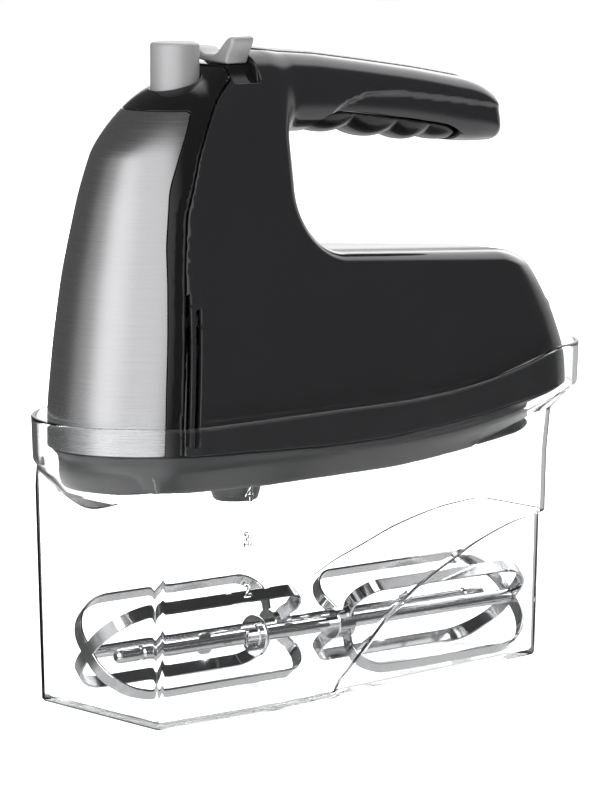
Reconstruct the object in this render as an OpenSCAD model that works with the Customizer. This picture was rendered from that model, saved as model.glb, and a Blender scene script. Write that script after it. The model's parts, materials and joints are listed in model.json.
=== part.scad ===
// Hand mixer docked in its clear storage case, with two wire beaters lying in the case.
// +Z is up, the mixer's nose points to -X, and the origin is under the middle of the case.
// Lengths are millimetres.

/* [Storage case] */
// Length of the case over its rim
case_len = 265; // [255:1:275]
// Half width of the rim round the nose of the mixer
rim_w = 45; // [44:0.5:48]
// Half width of the rim round the rear of the mixer
rim_rear_w = 33; // [32:0.5:36]
// Height of the rim beside the nose
rim_z = 117; // [114:1:120]
// How far the rim climbs towards the rear
rim_rise = 14; // [12:1:18]
// Wall thickness of the case
case_wall = 2; // [1.6:0.1:2.4]

/* [Mixer housing] */
// Half width of the housing low down at the front
body_w = 38; // [37:0.5:39]
// Wall thickness of the housing shells
shell_wall = 2.4; // [2:0.1:3]
// Height of the mixer's underside above the table
base_z = 90; // [88:1:92]
// Thickness of the steel front cover
steel_t = 1; // [0.8:0.1:1.2]
// Height of the rear deck at its middle
deck_z = 172; // [168:1:176]
// Half width of the handle
grip_w = 17; // [15:0.5:19]

/* [Controls] */
// Diameter of the beater eject button
button_d = 19.2; // [18:0.2:20]
// Height of the eject button's top
button_top = 261.5; // [259:0.5:262]
// Stroke of the eject button
eject_stroke = 6; // [4:0.5:7]
// Width of the speed selector, side to side
selector_w = 32; // [28:1:33]

/* [Drive] */
// Distance of each beater spindle from the middle plane
spindle_y = 19.5; // [19.4:0.1:19.6]
// Teeth on each worm wheel
wheel_teeth = 14; // [14:1:14]
// Axial pitch of the single-start worm
worm_pitch = 6; // [6:0.05:6.1]
// Bore of each beater socket
socket_d = 6; // [5.8:0.1:6.4]

/* [Beaters] */
// Overall length of a beater
beater_len = 208; // [204:1:209]
// Radius of the beater cage at the outer face of its blades
cage_r = 24.5; // [24:0.5:25]
// Length of the beater cage
cage_len = 98; // [92:1:102]
// Diameter of the beater shaft
shaft_d = 5.8; // [5.4:0.1:5.8]

/* [Hidden] */
$fn = 48;
ring_n = 64;
nose_x = -case_len / 2;
tail_x = case_len / 2;

// ---------- curves ----------
function bezier(t, a, b, c, d) =
    pow(1 - t, 3) * a + 3 * t * pow(1 - t, 2) * b + 3 * t * t * (1 - t) * c + t * t * t * d;
function curve(a, b, c, d, n = 16) = [for (i = [0:n]) bezier(i / n, a, b, c, d)];
// how far the rim and the parting line climb at x
function rise(x, full) = full * pow(max(0, min(1, x / 108)), 2);

// outline of two circles joined by tangents, as a ring of ring_n points
function egg(x1, r1, x2, r2) = [for (i = [0:ring_n - 1])
    let (a = 360 * (i + 0.5) / ring_n, c = cos(a), s = sin(a))
    x1 * c + r1 > x2 * c + r2 ? [x1 + r1 * c, r1 * s] : [x2 + r2 * c, r2 * s]];
function at_height(ring, z, climb = 0) = [for (p = ring) [p[0], p[1], z + rise(p[0], climb)]];

function mix(a, b, t) = [for (i = [0:len(a) - 1]) a[i] * (1 - t) + b[i] * t];

// closed solid through a stack of rings, bottom one first
module loft(rings) {
    n = len(rings[0]);
    m = len(rings);
    points = [for (r = rings) each r];
    sides = [for (k = [0:m - 2], i = [0:n - 1]) each
        [[k * n + i, (k + 1) * n + i, (k + 1) * n + (i + 1) % n],
         [k * n + i, (k + 1) * n + (i + 1) % n, k * n + (i + 1) % n]]];
    polyhedron(points = points, convexity = 8, faces = concat(sides,
        [[for (i = [0:n - 1]) i]], [[for (i = [n - 1:-1:0]) (m - 1) * n + i]]));
}

// ---------- housing envelope ----------
front_curve = curve([-127, 90], [-127, 165], [-112, 246], [-72, 249]);
function nose_at(z) = lookup(z, [for (p = front_curve) [p[1], p[0]]]);
function side_at(z) = lookup(z, [[104, body_w], [150, body_w - 0.5], [180, body_w - 3],
    [205, body_w - 7], [225, body_w - 12], [245, grip_w + 2], [262, grip_w]]);
function rear_side_at(z) = lookup(z, [[104, 29], [150, 27], [175, 22], [200, grip_w - 2], [262, grip_w - 2]]);
function rear_at(z) = lookup(z, [[90, 126.5], [120, 126.5], [144, 120], [158, 113], [172, 101], [200, 96], [262, 96]]);

// front column and rear body seen from the side
module side_view(g) {
    offset(delta = -g) difference() {
        offset(r = 8) offset(delta = -8)
            polygon([[-140, 80], [-140, 244], [-84, 244], [-74, 249], [-28, 252], [96, 240],
                [100, deck_z - 2.5], [112, 164], [121, 146], [128, 120], [128, 80]]);
        gap_view();
    }
}
// finger gap between the handle and the rear deck
module gap_view() {
    hull() {
        translate([-31 + 25, deck_z + 29]) circle(25);
        translate([-31 + 18, 209]) circle(18);
        polygon([[0, deck_z + 3.2], [140, deck_z - 3.8], [140, 230], [0, 227]]);
    }
}
module side_plate(g) { rotate([90, 0, 0]) linear_extrude(120, center = true) side_view(g); }
module width_loft(g) {
    loft([for (z = [86, 104, 120, 135, 150, 165, 180, 195, 210, 222, 232, 240, 246, 252, 262])
        at_height(egg(nose_at(z) + side_at(z), side_at(z) - g,
            rear_at(z) - rear_side_at(z), rear_side_at(z) - g), z)]);
}
// handle: rounded sections along X, each [x, top, bottom, half width]
handle_stations = [[-62, 252, 228, 19], [-40, 257, 225.5, 19], [-20, 256, 224, 18.5], [10, 252, 222, 17.5],
    [40, 247.8, 219.5, grip_w], [64, 244, 217, grip_w], [76, 241.5, 215.6, 16.4], [84, 238, 214.6, 15.4],
    [90, 232.5, 216, 13], [93, 227, 219.5, 8]];
function squarish(v) = sign(v) * pow(abs(v), 0.72);
module handle_body(g) {
    loft([for (s = handle_stations) [for (i = [0:47]) let (a = 7.5 * i)
        [s[0] + (s[0] > 80 ? -g : 0), (s[3] - g) * squarish(cos(a)),
            (s[1] + s[2]) / 2 + ((s[1] - s[2]) / 2 - g) * squarish(sin(a))]]]);
}
module envelope(g) {
    intersection() { width_loft(g); side_plate(g); }
    handle_body(g);
}
// height of the parting line between the base pan and the shells
function parting_at(x) = lookup(x, [[-100, 105], [-68, 103.8], [-25, 102], [8, 102], [42, 104.4], [70, 107.4],
    [90, 110.4], [109, 113.4], [126, 114]]);
steel_z = [105.5, 236];
// region below the parting line, lowered by dz
module below_parting(dz = 0) {
    rotate([90, 0, 0]) linear_extrude(120, center = true)
        polygon(concat([[150, 40], [-150, 40]], [for (x = [-150:10:150]) [x, parting_at(x) - dz]]));
}
crease_curve = curve([-98, 100], [-97, 180], [-88, 225], [-57, 249]);
steel_edge = curve([-105, steel_z[0]], [-104, 170], [-98, 215], [-81, steel_z[1]]);
module front_region(grow = 0) {
    rotate([90, 0, 0]) linear_extrude(120, center = true) offset(delta = grow)
        polygon(concat([[-150, 80], [-98, 80]], crease_curve, [[-57, 270], [-150, 270]]));
}
module steel_region(grow = 0) {
    rotate([90, 0, 0]) linear_extrude(120, center = true) offset(delta = grow)
        polygon(concat(steel_edge, [[-150, steel_z[1]], [-150, steel_z[0]]]));
}
module half_space(side) { translate([-200, side > 0 ? 0.05 : -100.05, 0]) cube([400, 100, 300]); }

// ---------- storage case ----------
tub_front = -113;
tub_rear = 107;
// tub outline: flat front, parallel sides, then a taper to the rear
function tub(grow) = let (w = 38 + grow, t = 21.5 + grow, f = tub_front - grow, r = tub_rear + grow, k = 9)
    [for (i = [0:ring_n - 1]) let (a = 360 * (i + 0.5) / ring_n, q = floor(a / 90),
        cx = [r - k, -52, f + k, f + k][q], cy = [t - k, w - k, w - k, 0][q])
        let (c = cos(a), s = sin(a),
            corners = [[r - k, t - k], [-52, w - k], [f + k, w - k]],
            reach = [for (p = corners) p[0] * c + p[1] * abs(s)],
            best = reach[0] >= max(reach) ? corners[0] : reach[1] >= max(reach) ? corners[1] : corners[2])
        [best[0] + k * c, (s < 0 ? -1 : 1) * best[1] + k * s]];
module case_solid(g, floor_z) {
    rim = egg(nose_x + rim_w, rim_w - g, tail_x - rim_rear_w, rim_rear_w - g);
    waist = egg(nose_x + rim_w, rim_w - 1 - g, tail_x - rim_rear_w, rim_rear_w - 1 - g);
    shoulder = tub(3 - g);
    loft([at_height(tub(-g), floor_z), at_height(tub(1.5 - g), 45),
        at_height(tub(2.8 - g), 80 - g / 2, 6),
        at_height(mix(shoulder, waist, 0.62), 88 - g / 2, 9),
        at_height(mix(shoulder, waist, 0.9), 96 - g / 2, 12),
        at_height(waist, 103, rim_rise),
        at_height(rim, rim_z + (g > 0 ? 0.5 : 0), rim_rise)]);
}
module storage_case() {
    color("lightcyan", 0.4) resize([0, 0, 0]) difference() {
        case_solid(0, 0);
        case_solid(case_wall, case_wall);
    }
}

// ---------- mixer base and shells ----------
boss_z = base_z - 7;
spindle_x = -59;
module base_solid(g) {
    loft([at_height(egg(-84, 34 - g, 74, 21 - g), base_z + g, 6),
        at_height(egg(-87, 37 - g, 90, 26 - g), base_z + 6, 10),
        at_height(egg(-88, 39.2 - g, 97, 29 - g), 103, 12),
        at_height(egg(-88, 39.2 - g, 97, 29 - g), 137 + (g > 0 ? 1 : 0), 0)]);
}
module base_pan() {
    color("dimgray") difference() {
        resize([0, 0, 0]) union() {
            difference() {
                intersection() { base_solid(0); below_parting(0.3); }
                base_solid(shell_wall);
            }
            for (s = [-1, 1]) translate([spindle_x, s * spindle_y, boss_z]) cylinder(h = 14, r1 = 9, r2 = 11);
        }
        for (s = [-1, 1]) translate([spindle_x, s * spindle_y, boss_z - 2]) cylinder(h = 30, r = 7.3);
    }
}
// screws that hold the two shells together, as [x, z]
screw_places = [[-30, 114], [100, 128], [66, 231], [-48, 186]];
// upright vents behind the crease, as [x at the bottom, half width, top]
vents = [[-96.4, 0.75, 168], [-92.3, 1.1, 161.5]];
vent_z = 108;
vent_lean = 0.045;
module vent_cuts() {
    rotate([90, 0, 0]) linear_extrude(120, center = true) for (v = vents)
        let (top_x = v[0] + vent_lean * (v[2] - vent_z))
        polygon([[v[0] - v[1], vent_z], [v[0] + v[1], vent_z], [top_x + v[1], v[2]], [top_x - v[1], v[2]]]);
}
module screw_bosses(r, len) {
    for (p = screw_places) translate([p[0], 0, p[1]]) rotate([90, 0, 0]) cylinder(h = len, r = r, center = true);
}
module shell_half(side) {
    resize([0, 0, 0]) intersection() {
        difference() {
            union() {
                difference() { envelope(0); envelope(shell_wall); }
                intersection() { envelope(shell_wall / 2); screw_bosses(4, 100); }
            }
            screw_bosses(1.6, 22);
            translate([0, side * 11, 0]) screw_bosses(3.1, 2.4);
            below_parting(0);
            vent_cuts();
            front_region(0.15);
            cap_region(0.15);
            grip_region(0.15);
            cord_hole(0.2);
            pedestal_space(0.15);
            translate([selector_x, 0, 235]) cube([18, 20, 30], center = true);
            translate([-80, -30, pedestal_top]) cube([80 + selector_x + 6.8, 60, 20]);
        }
        half_space(side);
    }
}
module cord_hole(g) { translate([100, 0, 142]) rotate([0, 90, 0]) cylinder(h = 40, r = 7.2 + g); }
module left_shell() { color([0.1, 0.1, 0.1]) shell_half(-1); }
module right_shell() { color([0.1, 0.1, 0.1]) shell_half(1); }
// strip along the top of the handle
module cap_region(grow = 0) {
    rotate([90, 0, 0]) linear_extrude(2 * (grip_w - 6 + grow), center = true)
        polygon([[-42 - grow, 262], [-42 - grow, 252 - grow], [-20, 251.5 - grow],
            [66 + grow, 239.5 - grow], [66 + grow, 262]]);
}
module handle_cap() {
    color([0.2, 0.2, 0.2]) resize([0, 0, 0]) intersection() {
        difference() { envelope(0); envelope(shell_wall); }
        cap_region(0);
    }
}
// finger grip pad let into the underside of the handle
grip_ends = [-14, 70];
function grip_z(x) = 226.4 - 0.14 * x;
// underside between the notches at a and b, bulging down by deep
function lobe(a, b, deep, n = 10) = [for (i = [0:n - 1]) let (x = a + (b - a) * i / n)
    [x, grip_z(x) - deep * sin(180 * i / n)]];
module grip_region(grow = 0) {
    rotate([90, 0, 0]) linear_extrude(2 * (grip_w - 7 + grow), center = true)
        polygon([for (x = grip_ends, dz = x == grip_ends[0] ? [-14, 3] : [3, -14])
            [x + sign(x) * grow, grip_z(x) + dz + (dz > 0 ? grow : 0)]]);
}
module finger_grip() {
    color([0.13, 0.13, 0.13]) rotate([90, 0, 0]) linear_extrude(2 * (grip_w - 7), center = true)
        polygon(concat([[grip_ends[1], grip_z(grip_ends[1])], [grip_ends[1], grip_z(grip_ends[1]) + 3],
            [grip_ends[0], grip_z(grip_ends[0]) + 3]],
            lobe(grip_ends[0], 9.8, 3.4), lobe(9.8, 32.6, 3.2), lobe(32.6, 50, 2.6), lobe(50, grip_ends[1], 1.4)));
}

// ---------- spine, steel cover and controls ----------
button_x = -72.5;
selector_x = -51;
module spine_cover() {
    color([0.06, 0.06, 0.06]) resize([0, 0, 0]) difference() {
        intersection() {
            union() {
                difference() { envelope(0); envelope(3.4); below_parting(0); }
                // shelf that carries the button's spring
                intersection() {
                    envelope(3);
                    translate([-112, -30, spring_z[0] - 3]) cube([46, 60, 3]);
                }
            }
            front_region(0);
        }
        intersection() {
            difference() { envelope(-2); envelope(steel_t + 0.15); }
            steel_region(0.2);
        }
        translate([button_x, 0, 230]) cylinder(h = 50, r = button_d / 2 + 0.4);
        translate([button_x, 0, 200]) cylinder(h = 50, r = 3.6);
        pedestal_space(0.15);
    }
}
// block that carries the speed selector
pedestal_top = 252;
module pedestal_space(g) {
    translate([selector_x, 0, pedestal_top - 3]) cube([13 + 2 * g, 38 + 2 * g, 6 + 2 * g], center = true);
}
module pedestal() {
    color([0.06, 0.06, 0.06]) difference() {
        pedestal_space(0);
        translate([selector_x, 0, pedestal_top]) cube([7, 17, 20], center = true);
    }
}
module front_cover() {
    color("silver") resize([0, 0, 0]) intersection() {
        difference() { envelope(0); envelope(steel_t); }
        steel_region(0);
    }
}
module eject_button() {
    color("silver") translate([button_x, 0, 0]) {
        translate([0, 0, 236]) cylinder(h = button_top - 236, d = button_d);
        translate([0, 0, 158]) cylinder(h = 79, d = 6);
    }
}
// yoke that pushes both beaters out of their sockets
module eject_yoke() {
    color("white") difference() {
        union() {
            translate([button_x - 5, -26, 152.2]) cube([22, 52, 3.8]);
            for (s = [-1, 1]) translate([spindle_x, s * spindle_y, 143.4]) cylinder(h = 9, r = 2.2);
            translate([button_x, 0, 155.8]) cylinder(h = 5, r = 6);
        }
        translate([button_x, 0, 158]) cylinder(h = 10, d = 6);
    }
}
spring_z = [213, 236];
// round-wire compression spring, as a swept tube
module eject_spring() {
    turns = 5;
    steps = 14 * turns;
    wire = 0.6;
    mean_r = 5.4;
    function ring(k) = let (a = 360 * turns * k / steps, z = spring_z[0] + 0.7 + (spring_z[1] - spring_z[0] - 1.4) * k / steps)
        [for (i = [0:5]) let (b = 60 * i, r = mean_r + wire * cos(b))
            [button_x + r * cos(a), r * sin(a), z + wire * sin(b)]];
    color("gray") loft([for (k = [steps:-1:0]) ring(k)]);
}
// saddle between two raised wings, as a plate across the handle
module speed_selector() {
    w = selector_w / 2;
    half = [[0, 252.6], [w - 4.5, 252.6], [w - 1.4, 257], [w, 261.2], [w - 0.6, 263.3], [w - 2.2, 263.5],
        [w - 4.6, 261], [w - 8, 258], [4, 256.4], [0, 256.2]];
    color("silver") translate([selector_x - 5.5, 0, 0]) rotate([90, 0, 90]) linear_extrude(11)
        polygon(concat(half, [for (i = [len(half) - 2:-1:1]) [-half[i][0], half[i][1]]]));
}
module selector_slider() {
    color("dimgray") translate([selector_x, 0, 0]) {
        translate([-2.5, -3, 232]) cube([5, 6, 20.6]);
        translate([-6, -6, 228.2]) cube([12, 12, 3.8]);
    }
}
module switch_body() {
    color("white") translate([selector_x - 10, -14, 206]) cube([20, 28, 21.8]);
}
module circuit_board() {
    color("darkgreen") {
        translate([-64, -19, 201]) cube([26, 38, 1.6]);
        for (x = [-59, -43], s = [-1, 1]) translate([x, 12 * s, 202.6]) cylinder(h = 3, r = 2.5);
        translate([-55, -4, 202.6]) cube([8, 8, 3]);
    }
}

// ---------- motor ----------
motor_z = 130;
motor_x = 12;
module tube_x(x0, h, r, bore = 0) {
    translate([x0, 0, motor_z]) rotate([0, 90, 0]) difference() {
        cylinder(h = h, r = r);
        if (bore > 0) translate([0, 0, -1]) cylinder(h = h + 2, r = bore);
    }
}
module motor_stator() {
    color("slategray") difference() {
        translate([motor_x - 16, -26, motor_z - 27]) cube([32, 52, 54]);
        translate([motor_x - 20, 0, motor_z]) rotate([0, 90, 0]) cylinder(h = 40, r = 17.5);
        for (s = [-1, 1]) translate([motor_x - 20, -13, motor_z + s * 21.6 - 3]) cube([40, 26, 6]);
    }
}
module field_coils() {
    color("peru") for (s = [-1, 1]) translate([motor_x - 23, -12.8, motor_z + s * 21.6 - 2.8])
        cube([46, 25.6, 5.6]);
}
module motor_frame() {
    color("gainsboro") difference() {
        union() {
            translate([motor_x - 36, -20, motor_z - 12]) cube([4, 40, 24]);
            translate([motor_x + 44, -20, motor_z - 12]) cube([4, 40, 24]);
            for (s = [-1, 1]) translate([motor_x - 36, s * 18 - 2, motor_z - 33]) cube([84, 4, 5.8]);
            for (x = [motor_x - 36, motor_x + 44]) translate([x, -20, motor_z - 33]) cube([4, 40, 23]);
        }
        for (x = [motor_x - 40, motor_x + 40]) translate([x, 0, motor_z]) rotate([0, 90, 0])
            cylinder(h = 12, r = 6);
    }
}
module front_bearing() { color("goldenrod") tube_x(motor_x - 37, 6, 6, 2.55); }
module rear_bearing() { color("goldenrod") tube_x(motor_x + 43, 6, 6, 2.55); }
module brush_holders() {
    color("khaki") for (s = [-1, 1]) translate([motor_x + 30, s * 16, motor_z]) difference() {
        cube([9, 14, 9], center = true);
        cube([5.2, 16, 5.2], center = true);
    }
}
module carbon_brushes() {
    color([0.2, 0.2, 0.2]) for (s = [-1, 1]) translate([motor_x + 30, s * 12.8, motor_z])
        cube([5, 7.4, 5], center = true);
}
module brush_springs() {
    color("gray") for (s = [-1, 1]) translate([motor_x + 30, s * 16.6, motor_z])
        rotate([s > 0 ? -90 : 90, 0, 0]) cylinder(h = 6, r = 1.8);
}
module motor_shaft() {
    color("lightgray") {
        tube_x(motor_x - 96, 152, 2.5);
    }
}
module armature_core() {
    color("slategray") translate([motor_x, 0, motor_z]) rotate([0, 90, 0]) difference() {
        cylinder(h = 32, r = 16.7, center = true);
        cylinder(h = 40, r = 2.5, center = true);
        for (k = [0:11]) rotate(30 * k) translate([15.4, 0, 0]) cube([3, 1.6, 40], center = true);
    }
}
module armature_winding() {
    color("chocolate") for (s = [-1, 1]) translate([motor_x + s * 19, 0, motor_z]) rotate([0, 90, 0])
        difference() {
            cylinder(h = 6, r = 13, center = true);
            cylinder(h = 8, r = 2.5, center = true);
        }
}
module commutator() {
    color("darkgoldenrod") translate([motor_x + 30, 0, motor_z]) rotate([0, 90, 0]) difference() {
        cylinder(h = 14, r = 8.7, center = true);
        cylinder(h = 20, r = 2.5, center = true);
        for (k = [0:11]) rotate(30 * k) translate([8.7, 0, 0]) cube([1.6, 0.8, 20], center = true);
    }
}
module cooling_fan() {
    color("ivory") translate([motor_x + 51.5, 0, motor_z]) rotate([0, 90, 0]) {
        difference() {
            union() {
                cylinder(h = 1.6, r = 20);
                cylinder(h = 10, r = 6);
                for (k = [0:8]) rotate(40 * k) translate([5, -0.7, 0]) cube([14.5, 1.4, 9]);
            }
            translate([0, 0, -1]) cylinder(h = 14, r = 2.5);
        }
    }
}

// ---------- gearbox ----------
wheel_r = wheel_teeth * worm_pitch / (2 * PI);
worm_r = spindle_y - wheel_r;
// single-start thread on a round core, crest at the +Y side half a pitch ahead of the spindle
module worm() {
    turns = 4;
    per_turn = 16;
    steps = turns * per_turn;
    tip = worm_r + 1.2;
    root = worm_r - 1.5;
    x0 = spindle_x + worm_pitch / 2 - turns / 2 * worm_pitch;
    function ring(k) = let (a = 360 * k / per_turn, x = x0 + worm_pitch * k / per_turn)
        [for (p = [[-1.7, 3.2], [1.7, 3.2], [1.7, root], [0.7, tip], [-0.7, tip], [-1.7, root]])
            [x + p[0], p[1] * cos(a), motor_z + p[1] * sin(a)]];
    color("dimgray") resize([0, 0, 0]) difference() {
        union() {
            tube_x(x0 - 4, turns * worm_pitch + 8, root);
            loft([for (k = [0:steps]) ring(k)]);
        }
        tube_x(x0 - 10, 60, 2.5);
    }
}
module worm_wheel(phase) {
    rotate(phase) difference() {
        union() {
            rotate(180 / wheel_teeth) cylinder(h = 6, r = wheel_r - 1.7, center = true);
            for (k = [0:wheel_teeth - 1]) rotate(360 / wheel_teeth * k)
                translate([wheel_r - 2.2, 0, 0]) linear_extrude(6, center = true)
                    polygon([[0, -1.5], [3, -0.75], [3, 0.75], [0, 1.5]]);
        }
        cylinder(h = 10, r = 5, center = true);
    }
}
module spindle() {
    difference() {
        union() {
            translate([0, 0, base_z - 3]) cylinder(h = 56, r = 5);
            translate([0, 0, base_z - 3]) cylinder(h = 3, r = 6.6);
            translate([0, 0, motor_z - 8]) cylinder(h = 4.8, r = 6.5);
        }
        translate([0, 0, base_z - 4]) cylinder(h = 60, d = socket_d);
        for (a = [0, 90]) rotate(a) translate([0, 0, base_z]) cube([8.4, 1.6, 9], center = true);
    }
}
module left_spindle() { color("ivory") translate([spindle_x, -spindle_y, 0]) spindle(); }
module right_spindle() { color("ivory") translate([spindle_x, spindle_y, 0]) spindle(); }
module left_worm_wheel() {
    color("whitesmoke") translate([spindle_x, -spindle_y, motor_z]) worm_wheel(90 + 180 / wheel_teeth);
}
module right_worm_wheel() {
    color("whitesmoke") translate([spindle_x, spindle_y, motor_z]) worm_wheel(-90);
}
bush_z = [base_z + 8.2, motor_z + 8.2];
module spindle_bushes() {
    color("goldenrod") for (s = [-1, 1], z = bush_z) translate([spindle_x, s * spindle_y, z])
        difference() {
            cylinder(h = 6, r = 7);
            translate([0, 0, -1]) cylinder(h = 8, r = 5.05);
        }
}
module gearbox_housing() {
    post_x = spindle_x + 13.2;
    color("lightgray") difference() {
        union() {
            for (z = bush_z) translate([spindle_x - 13, -29, z]) cube([29.2, 58, 6]);
            for (s = [-1, 1]) translate([post_x, s * 27.4 - 1.6, bush_z[0] + 1]) cube([3, 3.2, 44]);
            translate([spindle_x + 18, -22, bush_z[0] + 3]) cube([4, 44, 38]);
            for (s = [-1, 1]) translate([post_x - 2, s * 20 - 2, bush_z[0]]) cube([9, 4, 6]);
        }
        for (s = [-1, 1]) translate([spindle_x, s * spindle_y, base_z]) cylinder(h = 80, r = 7);
        translate([spindle_x + 10, 0, motor_z]) rotate([0, 90, 0]) cylinder(h = 20, r = 8);
    }
}

// ---------- mains side ----------
module terminal_block() {
    color("beige") difference() {
        translate([77, -11, 98]) cube([12, 22, 11]);
        for (s = [-1, 1]) translate([83, s * 5.5, 103]) cylinder(h = 10, r = 2.2);
    }
}
module cord_inlet() {
    color([0.12, 0.12, 0.12]) translate([106, 0, 142]) rotate([0, 90, 0]) difference() {
        union() {
            cylinder(h = 17, r = 7);
            cylinder(h = 4, r = 9);
        }
        translate([0, 0, -1]) cylinder(h = 30, r = 3.4);
    }
}
module housing_screws() {
    color("gray") for (p = screw_places) translate([p[0], 0, p[1]]) rotate([-90, 0, 0]) {
        translate([0, 0, -11]) cylinder(h = 21, r = 1.5);
        translate([0, 0, -12]) cylinder(h = 2, r = 3);
    }
}

// ---------- beaters ----------
// a beater points along +Z from the tip of its cage, which stands at the origin
module beater_shaft() {
    color("silver") difference() {
        union() {
            translate([0, 0, 3]) cylinder(h = beater_len - 5, d = shaft_d);
            translate([0, 0, beater_len - 2]) cylinder(h = 2, d1 = shaft_d, d2 = shaft_d - 1.6);
            for (a = [0, 180]) rotate(a) translate([shaft_d / 2 - 0.5, -0.7, beater_len - 46]) cube([2, 1.4, 6]);
        }
        translate([0, 0, beater_len - 12]) rotate_extrude() translate([shaft_d / 2, 0]) circle(0.9);
    }
}
strip_w = 5.5;
strip_t = 1.1;
// one closed loop of flat strip in the XZ plane, dented at its tip to cross its twin
module blade_loop(dent) {
    w = cage_r - 1;
    rotate([90, 0, 0]) translate([0, 0, -strip_w / 2]) linear_extrude(strip_w) difference() {
        loop_outline(w, 0, dent);
        loop_outline(w, strip_t, dent);
    }
}
module loop_outline(w, g, dent) {
    offset(r = 9 - g) offset(delta = -9)
        polygon([[-w, 18], [-w + 13, 0.4 + dent], [w - 13, 0.4 + dent], [w, 18], [w, cage_len - 16],
            [w - 16, cage_len + dent * 0.1], [-w + 16, cage_len + dent * 0.1], [-w, cage_len - 16]]);
}
module beater_blades() {
    color("silver") difference() {
        union() {
            rotate(45) blade_loop(0);
            rotate(-45) blade_loop(0);
        }
        cylinder(h = 300, d = shaft_d - 0.02, center = true);
    }
}
// disc that keeps this beater out of the wrong socket
module beater_collar() {
    color("silver") difference() {
        translate([0, 0, beater_len - 70]) cylinder(h = 2.6, r = 8.5);
        translate([0, 0, beater_len - 71]) cylinder(h = 5, d = shaft_d);
    }
}
module beater_hub() {
    color("silver") difference() {
        translate([0, 0, cage_len]) cylinder(h = 2.2, r = 6.4);
        translate([0, 0, cage_len - 1]) cylinder(h = 5, d = shaft_d);
    }
}
beater_z = 22.5;
// the two beaters lie side by side, head to tail
module place_1() { translate([-107, 13, beater_z]) rotate([0, 90, 0]) children(); }
module place_2() { translate([104.5, -1.5, beater_z]) rotate([0, -90, 0]) children(); }
module beater_1_shaft() { place_1() beater_shaft(); }
module beater_1_blades() { place_1() beater_blades(); }
module beater_1_hub() { place_1() beater_hub(); }
module beater_2_shaft() { place_2() beater_shaft(); }
module beater_2_blades() { place_2() beater_blades(); }
module beater_2_hub() { place_2() beater_hub(); }
module beater_2_collar() { place_2() beater_collar(); }

storage_case();
base_pan();
left_shell();
right_shell();
spine_cover();
pedestal();
front_cover();
handle_cap();
finger_grip();
eject_button();
eject_yoke();
eject_spring();
speed_selector();
selector_slider();
switch_body();
circuit_board();
motor_stator();
field_coils();
motor_frame();
front_bearing();
rear_bearing();
brush_holders();
carbon_brushes();
brush_springs();
motor_shaft();
armature_core();
armature_winding();
commutator();
cooling_fan();
worm();
gearbox_housing();
left_spindle();
left_worm_wheel();
right_spindle();
right_worm_wheel();
spindle_bushes();
terminal_block();
cord_inlet();
housing_screws();
beater_1_shaft();
beater_1_blades();
beater_1_hub();
beater_2_shaft();
beater_2_blades();
beater_2_hub();
beater_2_collar();
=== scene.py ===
import json
import math

import bpy
import numpy as np
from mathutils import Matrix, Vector


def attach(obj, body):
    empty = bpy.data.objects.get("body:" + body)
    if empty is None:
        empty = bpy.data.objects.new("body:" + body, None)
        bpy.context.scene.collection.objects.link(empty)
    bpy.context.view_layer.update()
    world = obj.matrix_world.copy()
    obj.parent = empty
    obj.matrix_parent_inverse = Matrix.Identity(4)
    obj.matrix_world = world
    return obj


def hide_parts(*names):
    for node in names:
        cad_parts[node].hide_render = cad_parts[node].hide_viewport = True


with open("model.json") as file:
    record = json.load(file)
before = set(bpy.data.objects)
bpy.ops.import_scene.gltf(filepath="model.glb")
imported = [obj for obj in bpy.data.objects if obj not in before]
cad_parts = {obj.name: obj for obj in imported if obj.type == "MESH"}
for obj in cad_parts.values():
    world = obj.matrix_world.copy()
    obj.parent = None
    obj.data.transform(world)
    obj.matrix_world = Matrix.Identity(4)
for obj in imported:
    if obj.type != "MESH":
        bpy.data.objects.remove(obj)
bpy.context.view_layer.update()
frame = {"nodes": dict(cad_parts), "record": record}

MM = 0.001
NODES = frame["nodes"]


# ---------- numbers ----------
def table(pairs, soft=5.0):
    """Smoothed lookup through (position, value) pairs."""
    pairs = np.array(pairs, float)
    t = np.arange(-240, 340, 0.5)
    v = np.interp(t, pairs[:, 0], pairs[:, 1])
    n = int(soft * 6)
    k = np.arange(-n, n + 1) * 0.5
    w = np.exp(-0.5 * (k / soft) ** 2)
    v = np.convolve(np.pad(v, n, mode="edge"), w / w.sum(), mode="valid")
    return lambda q: np.interp(q, t, v)


def step(a, b, x):
    """Smooth rise from 0 at a to 1 at b."""
    t = np.clip((x - a) / (b - a), 0, 1)
    return t * t * (3 - 2 * t)


def rmax(a, b, r):
    """Intersection of two fields with a rounded edge of radius r."""
    return np.minimum(-r, np.maximum(a, b)) + np.hypot(np.maximum(a + r, 0), np.maximum(b + r, 0))


def smin(a, b, k):
    """Union of two fields with a fillet of size k."""
    h = np.clip(0.5 + 0.5 * (b - a) / k, 0, 1)
    return b + (a - b) * h - k * h * (1 - h)


def egg(x, y, x1, r1, x2, r2):
    """Distance to the outline of two circles joined by tangents."""
    span = x2 - x1
    slope = (r1 - r2) / span
    along = np.sqrt(1 - slope ** 2)
    px, py = np.abs(y), x - x1
    k = along * py - slope * px
    side = along * px + slope * py - r1
    return np.where(k < 0, np.hypot(px, py) - r1,
                    np.where(k > along * span, np.hypot(px, py - span) - r2, side))


def squircle(y, z, half_w, half_h, n):
    """Field of a rounded rectangle; a larger n has squarer corners."""
    q = (np.abs(y / half_w) ** n + np.abs(z / half_h) ** n) ** (1 / n)
    return (q - 1) * np.minimum(half_w, half_h)


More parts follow.
